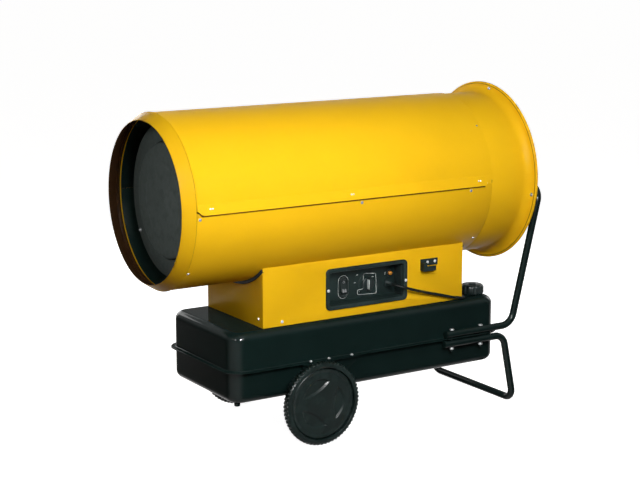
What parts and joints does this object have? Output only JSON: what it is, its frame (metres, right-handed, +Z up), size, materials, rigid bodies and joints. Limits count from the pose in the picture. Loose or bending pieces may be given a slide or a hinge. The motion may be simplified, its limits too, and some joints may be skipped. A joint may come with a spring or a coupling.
{
  "type": "forced air heater",
  "caption": "Wheeled oil fired space heater: long round drum over a fuel tank, control box between them, two wheels, tube handle and stand.",
  "frame": {"origin": "on the floor, under the middle of the heater's box (without its cord)", "axes": "+X from the air outlet to the fan intake, +Y away from the control side, +Z up"},
  "size_m": [1.2713, 0.56, 0.994],
  "materials": {
    "yellow_paint": "gloss powder coat",
    "black_paint": "gloss",
    "wheel_plastic": "moulded satin",
    "panel_plastic": "fine grained",
    "chamber_steel": "heat darkened, satin",
    "zinc": "zinc plated",
    "grey_housing": "satin",
    "black_rubber": "matte",
    "cord_rubber": "satin",
    "amber_lens": "polished",
    "copper": "drawn tube"
  },
  "bodies": {
    "root": {"upper_shell": "yellow_paint", "lower_shell": "yellow_paint", "outlet_ring": "yellow_paint", "intake_drum": "yellow_paint", "intake_guard": "zinc", "combustion_chamber": "chamber_steel", "deflector_disc": "chamber_steel", "front_chamber_bracket": "chamber_steel", "rear_chamber_bracket": "chamber_steel", "burner_head": "chamber_steel", "fuel_nozzle": "zinc", "ignition_electrodes": "zinc", "fan_motor": "grey_housing", "motor_bracket": "zinc", "fuel_pump": "zinc", "box_frame": "yellow_paint", "front_edge_seal": "black_rubber", "rear_edge_seal": "black_rubber", "control_side_panel": "yellow_paint", "far_side_panel": "yellow_paint", "control_tray": "panel_plastic", "switch_bezel": "panel_plastic", "reset_bezel": "zinc", "cord_gland": "panel_plastic", "cable_bracket": "panel_plastic", "control_unit": "grey_housing", "ignition_transformer": "panel_plastic", "fuel_filter": "zinc", "fuel_line": "copper", "tank_upper": "black_paint", "tank_lower": "black_paint", "drain_plug": "zinc", "filler_neck": "black_paint", "axle": "zinc", "near_axle_bracket": "black_paint", "near_frame_plate": "black_paint", "near_front_frame_bolt": "zinc", "near_rear_frame_bolt": "zinc", "far_axle_bracket": "black_paint", "far_frame_plate": "black_paint", "far_front_frame_bolt": "zinc", "far_rear_frame_bolt": "zinc", "handle_tube": "black_paint", "stand_tube": "black_paint", "cord_run": "cord_rubber", "cord_coil": "cord_rubber", "cord_tail": "cord_rubber", "plug": "cord_rubber"},
    "near_wheel": {"near_wheel": "wheel_plastic", "near_wheel_cover": "wheel_plastic"},
    "far_wheel": {"far_wheel": "wheel_plastic", "far_wheel_cover": "wheel_plastic"},
    "fan": {"fan_impeller": "grey_housing", "motor_shaft": "chamber_steel"},
    "cap_seal": {"cap_seal": "black_rubber"},
    "fuel_cap": {"fuel_cap": "panel_plastic"},
    "switch_rocker": {"switch_rocker": "panel_plastic"},
    "selector_knob": {"selector_knob": "panel_plastic"},
    "reset_button": {"reset_button": "amber_lens"}
  },
  "joints": [
    {"name": "near_wheel_spin", "type": "hinge", "parent": "root", "child": "near_wheel", "pos_m": [-0.2007, -0.2336, 0.125], "axis": [0, 1, 0], "continuous": true},
    {"name": "far_wheel_spin", "type": "hinge", "parent": "root", "child": "far_wheel", "pos_m": [-0.2007, 0.2336, 0.125], "axis": [0, 1, 0], "continuous": true},
    {"name": "fan_spin", "type": "hinge", "parent": "root", "child": "fan", "pos_m": [0.4703, 0, 0.714], "axis": [1, 0, 0], "continuous": true},
    {"name": "cap_lift", "type": "slide", "parent": "root", "child": "cap_seal", "axis": [0, 0, 1], "range_m": [0, 0.06]},
    {"name": "cap_turn", "type": "hinge", "parent": "cap_seal", "child": "fuel_cap", "pos_m": [0.4323, -0.122, 0.36], "axis": [0, 0, 1], "range_deg": [0, 90]},
    {"name": "rocker_tilt", "type": "hinge", "parent": "root", "child": "switch_rocker", "pos_m": [-0.0497, -0.115, 0.426], "axis": [1, 0, 0], "range_deg": [0, 20]},
    {"name": "selector_turn", "type": "hinge", "parent": "root", "child": "selector_knob", "pos_m": [0.0373, -0.123, 0.426], "axis": [0, 1, 0], "range_deg": [-60, 60]},
    {"name": "reset_press", "type": "slide", "parent": "root", "child": "reset_button", "axis": [0, 1, 0], "range_m": [0, 0.003], "stiffness_N_per_m": 400}
  ]
}
